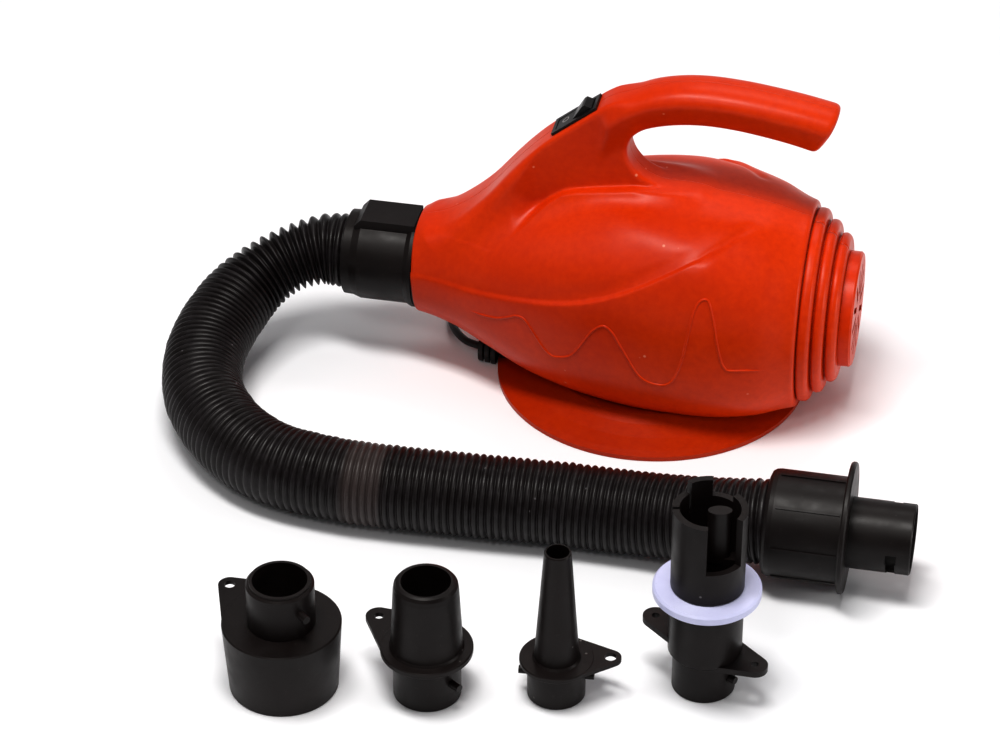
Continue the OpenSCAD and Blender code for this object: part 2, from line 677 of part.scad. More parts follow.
module valve_adaptor() color(black) translate(valve_at) {
    difference() {
        union() {
            rotate_extrude() polygon([[0, 0], [14.1, 0], [14.6, 0.5], [14.6, 19.4], [17, 22],
                                      [17, 52.5], [15, 52.5], [15, 58.5], [16.8, 58.5],
                                      [17, 106], [0, 106]]);
            translate([0, 0, 19.6]) rotate(-20) loop_tab(14.8, 26, 6, 1.8, 3);
            translate([0, 0, 26]) rotate(160) loop_tab(15, 26, 6, 1.8, 3);
            for (a = [-28, 152]) rotate(a) bayonet_pin(14.6, 11, 3.4);
        }
        translate([0, 0, -1]) cylinder(r = 12.6, h = 54);
        cylinder(r = 13.8, h = 110);
        // Rim cut down beside the one tall claw, then a slit, a notch, the window and a step.
        translate([0, 0, 100.6]) linear_extrude(10) {
            sector(137, 270);
            sector(260, 455);
        }
        for (c = [[137, 141, 90], [188, 194, 96], [275, 337, 75.5], [412, 455, 97.5]])
            translate([0, 0, c[2]]) linear_extrude(35) sector(c[0], c[1]);
    }
    // Bar across the bore, and the pusher on it that opens the flap of a valve.
    intersection() {
        translate([-20, -3, 71]) cube([40, 6, 4.6]);
        cylinder(r = 15, h = 90);
    }
    translate([4.4, -0.4, 73]) linear_extrude(27.6) rotate(12) scale([1, 0.62]) circle(5.4);
}

module valve_seal_ring() color([0.75, 0.75, 0.88]) translate(valve_at + [0, 0, 52.9])
    rotate_extrude() polygon([[15.05, 0], [23.8, 0], [24.8, 1], [24.8, 4], [23.8, 5], [15.05, 5]]);

shell_left();
shell_right();
foot();
base_plate();
base_pad();
outlet_duct();
end_cap();
dust_screen();
shell_screws();
foot_screws();
switch_housing();
switch_rocker();
switch_terminals();
field_core();
field_coils();
front_bracket();
rear_bracket();
bracket_screws();
front_bearing();
rear_bearing();
mount_rings();
brush_holders();
carbon_brushes();
brush_springs();
suppressor();
motor_leads();
motor_shaft();
armature_core();
armature_windings();
commutator();
impeller();
impeller_nut();
diffuser();
fan_cover();
cord_clamp();
strain_relief();
inner_cord();
power_cord();
cord_coil();
cord_tie();
plug_body();
plug_pins();
hose_coupling();
coupling_gasket();
hose_tube();
hose_end_cuff();
hose_end_tube();
nozzle_large();
nozzle_medium();
nozzle_small();
valve_adaptor();
valve_seal_ring();
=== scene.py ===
import math

import bmesh
import bpy
import numpy as np
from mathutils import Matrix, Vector


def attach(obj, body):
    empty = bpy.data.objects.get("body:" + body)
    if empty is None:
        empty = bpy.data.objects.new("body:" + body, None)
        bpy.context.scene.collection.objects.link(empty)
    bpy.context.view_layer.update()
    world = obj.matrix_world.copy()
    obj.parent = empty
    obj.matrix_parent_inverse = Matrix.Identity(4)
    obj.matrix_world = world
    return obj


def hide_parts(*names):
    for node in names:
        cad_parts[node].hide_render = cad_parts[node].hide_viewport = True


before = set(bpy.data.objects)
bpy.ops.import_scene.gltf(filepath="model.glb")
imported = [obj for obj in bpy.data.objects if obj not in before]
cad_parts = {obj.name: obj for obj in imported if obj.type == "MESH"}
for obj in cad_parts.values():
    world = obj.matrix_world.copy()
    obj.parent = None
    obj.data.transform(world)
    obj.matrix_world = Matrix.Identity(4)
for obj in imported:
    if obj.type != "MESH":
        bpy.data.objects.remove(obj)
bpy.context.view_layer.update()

MM = 0.001
AXIS_Z = 53.0


# ---------------------------------------------------------------- helpers

def unit(v):
    v = np.asarray(v, float)
    return v / np.maximum(np.linalg.norm(v, axis=-1, keepdims=True), 1e-12)


def new_object(name, verts, faces, material, body=None, flat=False):
    """A mesh piece from points in millimetres and faces."""
    mesh = bpy.data.meshes.new(name)
    mesh.from_pydata((np.asarray(verts, float) * MM).tolist(), [], [tuple(f) for f in faces])
    mesh.validate()
    mesh.polygons.foreach_set("use_smooth", np.full(len(mesh.polygons), not flat))
    obj = bpy.data.objects.new(name, mesh)
    bpy.context.scene.collection.objects.link(obj)
    obj.data.materials.append(material)
    if body:
        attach(obj, body)
    return obj


def point_values(obj, name, values):
    """One number per vertex, which a material reads by name."""
    layer = obj.data.attributes.new(name, "FLOAT", "POINT")
    layer.data.foreach_set("value", np.asarray(values, np.float32))


def grid_faces(rows, cols, closed_rows=False):
    """Quads of a grid of points whose columns close on themselves, and whose rows may."""
    i = np.arange(rows if closed_rows else rows - 1)
    j = np.arange(cols)
    i, j = np.meshgrid(i, j, indexing="ij")
    i2, j2 = (i + 1) % rows, (j + 1) % cols
    quads = np.stack([i * cols + j, i * cols + j2, i2 * cols + j2, i2 * cols + j], -1)
    return quads.reshape(-1, 4).tolist()


def merge(*parts):
    """Joins (points, faces) pairs into one pair."""
    verts, faces, start = [], [], 0
    for v, f in parts:
        verts.append(np.asarray(v, float))
        faces += [[k + start for k in face] for face in f]
        start += len(v)
    return np.vstack(verts), faces


def through(rows, t):
    """Smooth curve through equally spaced rows, at position t from 0 to len - 1."""
    rows = np.asarray(rows, float)
    t = np.asarray(t, float)
    i = np.clip(np.floor(t).astype(int), 0, len(rows) - 2)
    f = (t - i)[..., None]
    a, b, c, d = (rows[np.clip(i + k, 0, len(rows) - 1)] for k in (-1, 0, 1, 2))
    return b + f / 2 * ((c - a) + f * ((2 * a - 5 * b + 4 * c - d) + f * (3 * (b - c) + d - a)))


def even_path(points, step):
    """The smooth curve through the points, cut into equal steps."""
    dense = through(points, np.linspace(0, len(points) - 1, 40 * len(points)))
    s = np.concatenate([[0], np.cumsum(np.linalg.norm(np.diff(dense, axis=0), axis=1))])
    n = max(2, int(round(s[-1] / step)))
    at = np.linspace(0, s[-1], n + 1)
    return np.stack([np.interp(at, s, dense[:, k]) for k in range(3)], 1), at


def carried_frames(path):
    """Two directions across the path at each point, carried along without twist."""
    t = unit(np.gradient(path, axis=0))
    u = np.zeros_like(path)
    first = np.cross(t[0], [0, 0, 1.0])
    if np.linalg.norm(first) < 0.1:
        first = np.cross(t[0], [0, 1.0, 0])
    u[0] = unit(first)
    for i in range(1, len(path)):
        u[i] = unit(u[i - 1] - t[i] * (u[i - 1] @ t[i]))
    return t, u, np.cross(t, u)


def ring_directions(u, v, sides):
    """Unit directions around a path at each of its points, from its two carried directions."""
    a = np.linspace(0, 2 * np.pi, sides, endpoint=False)
    return np.cos(a)[None, :, None] * u[:, None] + np.sin(a)[None, :, None] * v[:, None]


def tube(path, radius, sides):
    """Points and faces of a closed rod; radius is one number or one per point of the path."""
    _, u, v = carried_frames(path)
    r = np.broadcast_to(np.asarray(radius, float), (len(path),))[:, None, None]
    pts = (path[:, None] + r * ring_directions(u, v, sides)).reshape(-1, 3)
    last = (len(path) - 1) * sides
    caps = [list(range(sides))[::-1], [last + k for k in range(sides)]]
    return pts, grid_faces(len(path), sides) + caps


def lathe(profile, sides, arc=360.0, start=0.0):
    """A closed profile of (radius, height) turned about Z; a part turn gets end faces."""
    p = np.asarray(profile, float)
    full = arc >= 360
    a = np.radians(start + np.linspace(0, arc, sides, endpoint=not full))
    pts = np.stack([p[None, :, 0] * np.cos(a)[:, None], p[None, :, 0] * np.sin(a)[:, None],
                    np.broadcast_to(p[:, 1], (len(a), len(p)))], -1).reshape(-1, 3)
    faces = [f[::-1] for f in grid_faces(len(a), len(p), closed_rows=full)]
    if not full:
        last = (len(a) - 1) * len(p)
        faces += [list(range(len(p))), [last + k for k in range(len(p))][::-1]]
    return pts, faces


def along_x(points):
    """Turns +Z to +X about Y, as the CAD does, and lifts the axis to the motor's."""
    p = np.asarray(points, float)
    return np.stack([p[:, 2], p[:, 1], AXIS_Z - p[:, 0]], 1)


def rounded(profile, r, steps=3):
    """A closed outline with its corners rounded to r, where there is room."""
    p = np.asarray(profile, float)
    out = []
    for i in range(len(p)):
        a, b, c = p[i - 1], p[i], p[(i + 1) % len(p)]
        la, lc = np.linalg.norm(a - b), np.linalg.norm(c - b)
        k = min(r, 0.45 * la, 0.45 * lc)
        if k < 0.05:
            out.append(b)
            continue
        s, e = b + (a - b) / la * k, b + (c - b) / lc * k
        for q in np.linspace(0, 1, steps + 1):
            out.append((1 - q) ** 2 * s + 2 * q * (1 - q) * b + q * q * e)
    return np.array(out)


def clean(obj):
    """Welds points, and turns all faces outwards."""
    bm = bmesh.new()
    bm.from_mesh(obj.data)
    bmesh.ops.remove_doubles(bm, verts=bm.verts, dist=1e-6)
    bmesh.ops.recalc_face_normals(bm, faces=bm.faces)
    bm.to_mesh(obj.data)
    bm.free()


# ---------------------------------------------------------------- camera

CAMERA_AT = (0.23424, -1.48115, 1.03438)
CAMERA_AZIMUTH, CAMERA_ELEVATION = 12, 34.7


def make_camera():
    """A long lens, a little round from the pump's side and well above it."""
    data = bpy.data.cameras.new("camera")
    data.sensor_width = 36
    data.lens = 126
    data.clip_start, data.clip_end = 0.05, 20
    cam = bpy.data.objects.new("camera", data)
    cam.location = CAMERA_AT
    cam.rotation_euler = (math.radians(90 - CAMERA_ELEVATION), 0, math.radians(CAMERA_AZIMUTH))
    bpy.context.scene.collection.objects.link(cam)
    bpy.context.scene.camera = cam


make_camera()


# ---------------------------------------------------------------- materials

class Nodes:
    """Builds one material's node tree with short calls."""

    def __init__(self, name):
        self.mat = bpy.data.materials.new(name)
        self.mat.use_nodes = True
        self.tree = self.mat.node_tree
        self.bsdf = self.tree.nodes["Principled BSDF"]
        self.coords = self.add("ShaderNodeTexCoord").outputs["Object"]

    def add(self, kind, **props):
        node = self.tree.nodes.new(kind)
        for key, value in props.items():
            setattr(node, key, value)
        return node

    def link(self, a, b):
        self.tree.links.new(a, b)

    def noise(self, scale, detail=3.0, rough=0.55, stretch=None):
        node = self.add("ShaderNodeTexNoise")
        node.inputs["Scale"].default_value = scale
        node.inputs["Detail"].default_value = detail
        node.inputs["Roughness"].default_value = rough
        place = self.coords
        if stretch:
            mapping = self.add("ShaderNodeMapping")
            mapping.inputs["Scale"].default_value = stretch
            self.link(place, mapping.inputs["Vector"])
            place = mapping.outputs["Vector"]
        self.link(place, node.inputs["Vector"])
        return node.outputs["Fac"]

    def curve(self, value, low, high, to_low=0.0, to_high=1.0):
        node = self.add("ShaderNodeMapRange")
        for key, number in (("From Min", low), ("From Max", high), ("To Min", to_low),
                            ("To Max", to_high)):
            node.inputs[key].default_value = number
        self.link(value, node.inputs["Value"])
        return node.outputs["Result"]

    def mix(self, factor, a, b):
        node = self.add("ShaderNodeMix", data_type="RGBA")
        for value, key in ((factor, 0), (a, 6), (b, 7)):
            if isinstance(value, (tuple, list)):
                node.inputs[key].default_value = (*value[:3], 1)
            elif isinstance(value, (int, float)):
                node.inputs[key].default_value = value
            else:
                self.link(value, node.inputs[key])
        return node.outputs[2]

    def math(self, operation, a, b):
        node = self.add("ShaderNodeMath", operation=operation)
        for value, key in ((a, 0), (b, 1)):
            if isinstance(value, (int, float)):
                node.inputs[key].default_value = value
            else:
                self.link(value, node.inputs[key])
        return node.outputs[0]

    def attribute(self, name):
        return self.add("ShaderNodeAttribute", attribute_name=name).outputs["Fac"]

    def bump(self, *layers):
        """Layers of (height, distance in metres, strength), one on top of another."""
        last = None
        for height, distance, strength in layers:
            node = self.add("ShaderNodeBump")
            node.inputs["Distance"].default_value = distance
            node.inputs["Strength"].default_value = strength
            self.link(height, node.inputs["Height"])
            if last:
                self.link(last, node.inputs["Normal"])
            last = node.outputs["Normal"]
        self.link(last, self.bsdf.inputs["Normal"])

    def finish(self, colour, roughness, **fixed):
        self.link(colour, self.bsdf.inputs["Base Color"])
        self.link(roughness, self.bsdf.inputs["Roughness"])
        for key, value in fixed.items():
            self.bsdf.inputs[key.replace("_", " ")].default_value = value
        return self.mat


def scaled(colour, share):
    return tuple(c * share for c in colour)


def specks(n, density, size):
    """Small dust specks: 1 on a speck, 0 elsewhere."""
    node = n.add("ShaderNodeTexVoronoi")
    node.inputs["Scale"].default_value = density
    n.link(n.coords, node.inputs["Vector"])
    near = n.curve(node.outputs["Distance"], size, size * 0.55)
    rare = n.curve(n.noise(density * 0.31, 0.0), 0.60, 0.66)
    return n.math("MULTIPLY", near, rare)


# The housing orange. A factor below 1 darkens all of its colours, which paints shade into a part's
# colour.
def orange_plastic(name, painted_shade=1.0):
    n = Nodes(name)
    broad = n.noise(9, 2.0)
    mottled = n.noise(260, 3.0, 0.6)
    fine = n.noise(1500, 2.0)
    base = n.mix(n.curve(broad, 0.35, 0.65), scaled((0.60, 0.038, 0.0002), painted_shade),
                 scaled((0.70, 0.053, 0.0004), painted_shade))
    base = n.mix(n.curve(mottled, 0.3, 0.75, 0.0, 0.35), base,
                 scaled((0.45, 0.014, 0.0002), painted_shade))
    base = n.mix(n.math("MULTIPLY", specks(n, 95, 0.09), 0.55), base, (0.9, 0.45, 0.3))
    rough = n.curve(n.noise(60, 4.0), 0.3, 0.7, 0.30, 0.40)
    n.bump((fine, 0.00006, 0.35), (mottled, 0.0001, 0.18), (broad, 0.0012, 0.10))
    return n.finish(base, rough, IOR=1.5, Specular_IOR_Level=0.20)


def black_plastic(name, colour=(0.0050, 0.0028, 0.0026), low=0.34, high=0.50, grain=0.25):
    n = Nodes(name)
    broad = n.noise(24, 3.0)
    fine = n.noise(1300, 2.0)
    dusty = n.noise(330, 4.0, 0.65)
    lighter = tuple(min(1.0, c * 1.9 + 0.003) for c in colour)
    base = n.mix(n.curve(broad, 0.3, 0.75), colour, lighter)
    base = n.mix(n.curve(dusty, 0.62, 0.8, 0.0, 0.25), base, (0.06, 0.052, 0.048))
    base = n.mix(n.math("MULTIPLY", specks(n, 140, 0.10), 0.5), base, (0.30, 0.28, 0.27))
    rough = n.curve(n.noise(90, 4.0), 0.3, 0.7, low, high)
    n.bump((fine, 0.00006, grain), (dusty, 0.00012, grain * 0.7))
    return n.finish(base, rough, IOR=1.5, Specular_IOR_Level=0.26)


def hose_plastic():
    n = Nodes("hose_plastic")
    fine = n.noise(1400, 2.0)
    dusty = n.noise(210, 4.0, 0.65)
    worn = n.attribute("worn")
    broad = n.noise(30)
    base = n.mix(n.curve(broad, 0.3, 0.7), (0.0052, 0.0030, 0.0030), (0.010, 0.0072, 0.0074))
    base = n.mix(n.math("MULTIPLY", n.curve(dusty, 0.45, 0.7), 0.35), base, (0.035, 0.030, 0.034))
    base = n.mix(n.math("MULTIPLY", worn, 0.75), base, (0.060, 0.045, 0.043))
    base = n.mix(n.math("MULTIPLY", specks(n, 150, 0.10), 0.5), base, (0.30, 0.28, 0.30))
    rough = n.curve(n.noise(120, 3.0), 0.3, 0.7, 0.30, 0.46)
    n.bump((fine, 0.00005, 0.25), (dusty, 0.0001, 0.2))
    return n.finish(base, rough, IOR=1.5, Specular_IOR_Level=0.32)


def metal(name, colour, rough=0.3, brushed=(1, 1, 30)):
    n = Nodes(name)
    lines = n.noise(160, 3.0, 0.6, stretch=brushed)
    base = n.mix(n.curve(lines, 0.3, 0.7), scaled(colour, 0.82), colour)
    base = n.mix(n.curve(n.noise(70, 4.0), 0.6, 0.8, 0.0, 0.4), base, scaled(colour, 0.45))
    n.bump((lines, 0.00004, 0.3))
    return n.finish(base, n.curve(lines, 0.3, 0.7, rough, rough + 0.15), Metallic=1.0)


def laminations():
    n = Nodes("lamination_steel")
    wave = n.add("ShaderNodeTexWave", wave_type="BANDS", bands_direction="X")
    wave.inputs["Scale"].default_value = 620
    n.link(n.coords, wave.inputs["Vector"])
    base = n.mix(wave.outputs["Fac"], (0.10, 0.095, 0.09), (0.30, 0.29, 0.28))
    n.bump((wave.outputs["Fac"], 0.0001, 0.6))
    return n.finish(base, n.curve(n.noise(90), 0.3, 0.7, 0.35, 0.6), Metallic=0.8)


def copper_wire(name, axis):
    n = Nodes(name)
    wave = n.add("ShaderNodeTexWave", wave_type="BANDS", bands_direction=axis)
    wave.inputs["Scale"].default_value = 420
    wave.inputs["Distortion"].default_value = 0.6
    n.link(n.coords, wave.inputs["Vector"])
    base = n.mix(wave.outputs["Fac"], (0.20, 0.055, 0.02), (0.55, 0.20, 0.075))
    n.bump((wave.outputs["Fac"], 0.0003, 0.7))
    return n.finish(base, n.curve(n.noise(50), 0.3, 0.7, 0.25, 0.4), Metallic=0.7)


def soft_rubber(name, colour, light, low=0.42, high=0.6):
    n = Nodes(name)
    broad = n.noise(45, 4.0)
    fine = n.noise(900, 3.0)
    base = n.mix(n.curve(broad, 0.3, 0.7), colour, light)
    base = n.mix(n.curve(n.noise(400, 4.0), 0.62, 0.75, 0.0, 0.3), base, scaled(colour, 0.7))
    n.bump((fine, 0.00008, 0.25), (broad, 0.0006, 0.12))
    return n.finish(base, n.curve(n.noise(80), 0.3, 0.7, low, high), IOR=1.45)


def pale_moulding(name, colour):
    n = Nodes(name)
    broad = n.noise(30, 3.0)
    base = n.mix(n.curve(broad, 0.3, 0.7), colour, scaled(colour, 0.86))
    n.bump((n.noise(1100, 2.0), 0.00006, 0.25), (broad, 0.0005, 0.15))
    return n.finish(base, n.curve(n.noise(70), 0.3, 0.7, 0.38, 0.52), IOR=1.5)


ORANGE = orange_plastic("housing_plastic")
# The foot uses the housing's orange darkened to 0.66. This is painted shade for the shadow the
# body casts on the foot.
ORANGE_FOOT_PAINTED_SHADE = orange_plastic("foot_plastic_painted_shade", 0.66)
BLACK = black_plastic("black_plastic")
SWITCH = black_plastic("switch_plastic", (0.006, 0.005, 0.005), 0.26, 0.36, 0.1)
MOTOR_BLACK = black_plastic("motor_plastic", (0.016, 0.016, 0.016), 0.45, 0.6)
HOSE = hose_plastic()
CORD_BLACK = black_plastic("cord_plastic", (0.009, 0.0085, 0.0085), 0.40, 0.55, 0.15)
STEEL = metal("zinc_steel", (0.62, 0.62, 0.64))
SHAFT_STEEL = metal("shaft_steel", (0.66, 0.66, 0.68), 0.22, (30, 1, 1))
BRASS = metal("brass", (0.76, 0.58, 0.30))
COMMUTATOR = metal("commutator_copper", (0.72, 0.36, 0.20), 0.25, (30, 1, 1))
LAMINATIONS = laminations()
COPPER_X = copper_wire("field_winding", "Y")
COPPER_R = copper_wire("armature_winding", "X")
BASE_RUBBER = soft_rubber("base_rubber", (0.012, 0.012, 0.012), (0.02, 0.02, 0.02), 0.6, 0.8)
SEAL = soft_rubber("seal_rubber", (0.56, 0.57, 0.80), (0.66, 0.67, 0.88), 0.30, 0.42)
CARBON = soft_rubber("brush_carbon", (0.02, 0.02, 0.022), (0.035, 0.035, 0.037), 0.45, 0.6)
YELLOW = pale_moulding("suppressor_plastic", (0.72, 0.46, 0.05))
BLUE = pale_moulding("lead_plastic", (0.02, 0.05, 0.35))
OFF_WHITE = pale_moulding("impeller_plastic", (0.62, 0.62, 0.56))
MARK = pale_moulding("mark_print", (0.34, 0.32, 0.32))
SCREEN = black_plastic("screen_plastic", (0.018, 0.018, 0.018), 0.5, 0.65)


# ---------------------------------------------------------------- the hose and the cord

HOSE_ROUTE = [(-145.4, 0, 53), (-160, 0, 53), (-176, -2, 52.5), (-194, -10.5, 47.5),
              (-208, -25, 40), (-217, -47, 32), (-219, -71, 27), (-213, -97, 24),
              (-202, -116, 22.5), (-185, -134, 21.5), (-162, -147.5, 21), (-130, -153.5, 21),
              (-100, -154, 21), (-60, -152.5, 21), (-20, -150.5, 21), (15, -150.5, 21.2),
              (42, -152.5, 23.6), (63, -154.6, 27), (79, -155, 29.2), (90, -155, 29.6)]
HOSE_R = 20.5
HOSE_WALL = 1.1
HOSE_SIDES = 56
RIB_PITCH = 3.6
STEPS_PER_RIB = 10
# Distances along the hose to the middle of its stretched bend and of its worn band.
BEND_MID = 52
WORN_MID, WORN_HALF = 273, 8


def hose_radius(s):
    """Outer radius along the hose: round crests, narrow grooves, and fins in its first bend."""
    waist = HOSE_R - 3.3 * np.exp(-((s - 48) / 30) ** 2)
    fins = np.exp(-((s - BEND_MID) / 25) ** 4)
    pitch = RIB_PITCH + 0.6 * np.exp(-(s / 40) ** 2) + 0.8 * fins
    turns = np.concatenate([[0], np.cumsum(np.diff(s) / ((pitch[1:] + pitch[:-1]) / 2))])
    rise = np.abs(np.sin(np.pi * turns)) ** (0.62 + 0.75 * fins)
    depth = 2.3 + 1.5 * fins
    rng = np.random.default_rng(7)
    uneven = rng.normal(0, 0.10, len(s) // STEPS_PER_RIB + 2)
    crest = np.repeat(uneven, STEPS_PER_RIB)[:len(s)]
    return waist - depth + (depth + crest) * rise


def make_hose():
    """The corrugated hose, open at both ends, with a worn band along its straight."""
    path, s = even_path(HOSE_ROUTE, RIB_PITCH / STEPS_PER_RIB)
    _, u, v = carried_frames(path)
    ring = ring_directions(u, v, HOSE_SIDES)
    r = hose_radius(s)[:, None, None]
    outside = (path[:, None] + r * ring).reshape(-1, 3)
    inside = (path[:, None] + (r - HOSE_WALL) * ring)[::3].reshape(-1, 3)
    rows_in = len(inside) // HOSE_SIDES
    verts, faces = merge((outside, [f[::-1] for f in grid_faces(len(path), HOSE_SIDES)]),
                         (inside, grid_faces(rows_in, HOSE_SIDES)))
    first_in = len(outside)
    last_out = (len(path) - 1) * HOSE_SIDES
    last_in = first_in + (rows_in - 1) * HOSE_SIDES
    for k in range(HOSE_SIDES):
        j = (k + 1) % HOSE_SIDES
        faces.append((k, j, first_in + j, first_in + k))
        faces.append((last_out + k, last_in + k, last_in + j, last_out + j))
    obj = new_object("corrugated_hose", verts, faces, HOSE, "pump")
    band = np.exp(-np.clip(np.abs(s - WORN_MID) - WORN_HALF, 0, None) / 1.2)
    worn = np.concatenate([np.repeat(band, HOSE_SIDES), np.zeros(len(inside))])
    point_values(obj, "worn", worn)
    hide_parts("hose_tube")


CORD_R = 2.0
CORD_START = (-90.4, -5, 6.5)
CORD_ROUTE = [CORD_START, (-98, -1.5, 6), (-105, 7, 4.8), (-110, 17, 3.6),
              (-112, 28, 2.6), (-109, 39, 2.1), (-101, 50, 2.1), (-88, 60, 2.1), (-73, 68, 2.1),
              (-57, 75, 2.1), (-41, 81, 2.1), (-26, 85.5, 2.3), (-11, 88, 2.6), (4, 88, 2.9)]
COIL_MID = (10, 113)
COIL_R = 21
# The turns of the stored coil in winding order: distance from the coil's mean radius, height.
TURNS = [(4, 2.9), (0, 2.9), (-4, 2.9), (-6, 6.4), (-2, 6.4), (2, 6.4), (6, 6.4),
         (4, 9.9), (0, 9.9), (-4, 9.9)]
# The tail, which climbs over the top turns: direction from the coil's middle, radius, height.
TAIL = [(-90, 17, 9.9), (-60, 17.3, 10.2), (-30, 18, 11.4), (0, 19.5, 13.2), (30, 21.5, 13.9),
        (60, 23.2, 13.9), (80, 24.2, 13.8)]
TO_PLUG = [(5, 137.3, 13.6), (-1, 137.1, 12.2), (-7, 137, 10.2), (-12, 137, 9.4), (-19, 137, 9.2)]


def on_coil(degrees, r, z):
    a = math.radians(degrees)
    return COIL_MID[0] + r * math.cos(a), COIL_MID[1] + r * math.sin(a), z


def coil_points():
    """The wound part of the cord, a little under a diameter between turns that touch."""
    points = []
    per_turn = 24
    for k, (dr, z) in enumerate(TURNS):
        next_dr, next_z = TURNS[min(k + 1, len(TURNS) - 1)]
        for j in range(per_turn):
            f = j / per_turn
            g = max(0.0, (f - 0.8) / 0.2)
            g = g * g * (3 - 2 * g)
            r = COIL_R + dr + (next_dr - dr) * g
            points.append(on_coil(-90 + 360 * f, r, z + (next_z - z) * g))
    return points + [on_coil(*p) for p in TAIL]


def make_cord():
    """The mains cord from the strain relief to the plug, in one smooth length."""
    lead = [tuple(p) for p in through(CORD_ROUTE, np.linspace(0, len(CORD_ROUTE) - 1, 27))]
    points = lead[:-1] + [(8, 87.2, 2.9)] + coil_points()[1:] + TO_PLUG
    dense = through(points, np.linspace(0, len(points) - 1, 5 * len(points)))
    verts, faces = tube(dense, CORD_R, 12)
    obj = new_object("mains_cord", verts, faces, CORD_BLACK, "pump")
    clean(obj)
    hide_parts("power_cord", "cord_coil")


make_hose()
make_cord()


# ---------------------------------------------------------------- the housing as a field

NOSE_X, RING_X = -121.0, 79.0
WALL = 2.4
SEAM_GAP = 0.3
# Middle of the switch on the ramp, and the ramp's slope.
SWITCH_X, SWITCH_Z = -41.2, 148.6
RAMP_COS, RAMP_SIN = math.cos(math.radians(38.5)), math.sin(math.radians(38.5))
# Body sections every 20 mm from the nose: half width, height above and below
# the motor axis, roundness of the upper and of the lower half.
BODY = [(26.4, 26.4, 26.4, 2, 2), (31, 31, 31, 2, 2.1), (40, 39.5, 38, 2.2, 2.3),
        (49, 48, 44, 2.3, 2.6), (56, 54.5, 47.5, 2.4, 2.8), (61, 59, 49.8, 2.5, 2.9),
        (64, 61.5, 51, 2.5, 3), (65.2, 62.3, 51.4, 2.5, 3), (64, 61, 51.6, 2.5, 3),
        (60, 57.6, 51.5, 2.3, 2.7), (52.5, 52.5, 51.8, 2, 2.1)]
# Handle: x and height of its middle.
GRIP = [(-28, 143), (-17, 152), (-5, 158.6), (9, 162.4), (24, 163.8), (40, 163.1), (55, 161.2),
        (70, 158.6), (84, 155.4)]
# Outline of the ramp and the stem seen from the side.
STEM = [(-116, 60), (-114, 77), (-106, 81), (-98, 88.5), (-86, 102), (-70, 122), (-56, 136.7),
        (-41.2, 148.6), (-26, 160.6), (-18, 163.4), (-11, 161), (-11.5, 152), (-14.2, 143),
        (-14.3, 135), (-11.5, 128), (-6, 122.3), (1, 118.8), (9, 116.6), (20, 112), (20, 90),
        (-60, 60)]
STEM_WIDTH = [(-116, 20), (-98, 19.5), (-86, 18), (-70, 16.5), (-56, 15), (-26, 13.5), (20, 12.5)]


def smooth_min(a, b, k):
    h = np.clip(0.5 + 0.5 * (b - a) / k, 0, 1)
    return b + (a - b) * h - k * h * (1 - h)


def smooth_max(a, b, k):
    return -smooth_min(-a, -b, k)


def ramp01(x, x0, x1):
    t = np.clip((x - x0) / (x1 - x0), 0, 1)
    return t * t * (3 - 2 * t)


BODY_T = np.linspace(0, len(BODY) - 1, 401)
BODY_X = NOSE_X + BODY_T * 20
BODY_ROWS = through(BODY, BODY_T)


def body_field(x, y, z):
    """The egg-shaped body without the ramp and the handle."""
    w, up, down, pu, pd = (np.interp(x, BODY_X, BODY_ROWS[:, k]) for k in range(5))
    h = z - AXIS_Z
    p = np.where(h >= 0, pu, pd)
    tall = np.where(h >= 0, up, down)
    s = ((np.abs(y) / w) ** p + (np.abs(h) / tall) ** p) ** (1 / p)
    r = np.sqrt(y * y + h * h)
    d = r - r / np.maximum(s, 1e-3)
    d = smooth_max(d, NOSE_X - x, 1.6)
    return smooth_max(d, x - RING_X, 2.2)


# Side outlines are sampled once on a fine grid of x and z.
SIDE_X = np.arange(-130, 110.1, 0.5)
SIDE_Z = np.arange(0, 185.1, 0.5)


def side_sample(table, x, z):
    u = np.clip((x - SIDE_X[0]) / 0.5, 0, len(SIDE_X) - 1.001)
    v = np.clip((z - SIDE_Z[0]) / 0.5, 0, len(SIDE_Z) - 1.001)
    i, j = u.astype(int), v.astype(int)
    f, g = u - i, v - j
    return ((table[i, j] * (1 - f) + table[i + 1, j] * f) * (1 - g)
            + (table[i, j + 1] * (1 - f) + table[i + 1, j + 1] * f) * g)


def outline_distance(points):
    """Signed distance to a closed outline, on the side grid."""
    X, Z = np.meshgrid(SIDE_X, SIDE_Z, indexing="ij")
    p = np.asarray(points, float)
    q = np.roll(p, -1, axis=0)
    best = np.full(X.shape, 1e9)
    inside = np.zeros(X.shape, bool)
    for (ax, az), (bx, bz) in zip(p, q):
        ex, ez = bx - ax, bz - az
        t = np.clip(((X - ax) * ex + (Z - az) * ez) / (ex * ex + ez * ez), 0, 1)
        best = np.minimum(best, np.hypot(X - ax - t * ex, Z - az - t * ez))
        if az != bz:
            cross = (az > Z) != (bz > Z)
            inside ^= cross & (X < (bx - ax) * (Z - az) / (bz - az) + ax)
    return np.where(inside, -best, best)


def rounded_outline(points, first, last, n=5):
    """The outline with its stretch first..last passed through a smooth curve."""
    p = np.asarray(points, float)
    t = np.linspace(0, last - first, (last - first) * n + 1)
    return np.vstack([p[:first], through(p[first:last + 1], t), p[last + 1:]])


STEM_TABLE = outline_distance(rounded_outline(STEM, 1, 18))


def stem_field(x, y, z, spare, r):
    """The ramp and the stem: spare thins its sides, r rounds its edges."""
    d2 = side_sample(STEM_TABLE, x, z)
    w = np.interp(x, *np.transpose(STEM_WIDTH)) - spare
    a, b = d2 + r, np.abs(y) - w + r
    corner = np.sqrt(np.maximum(a, 0) ** 2 + np.maximum(b, 0) ** 2)
    return corner + np.minimum(np.maximum(a, b), 0) - r


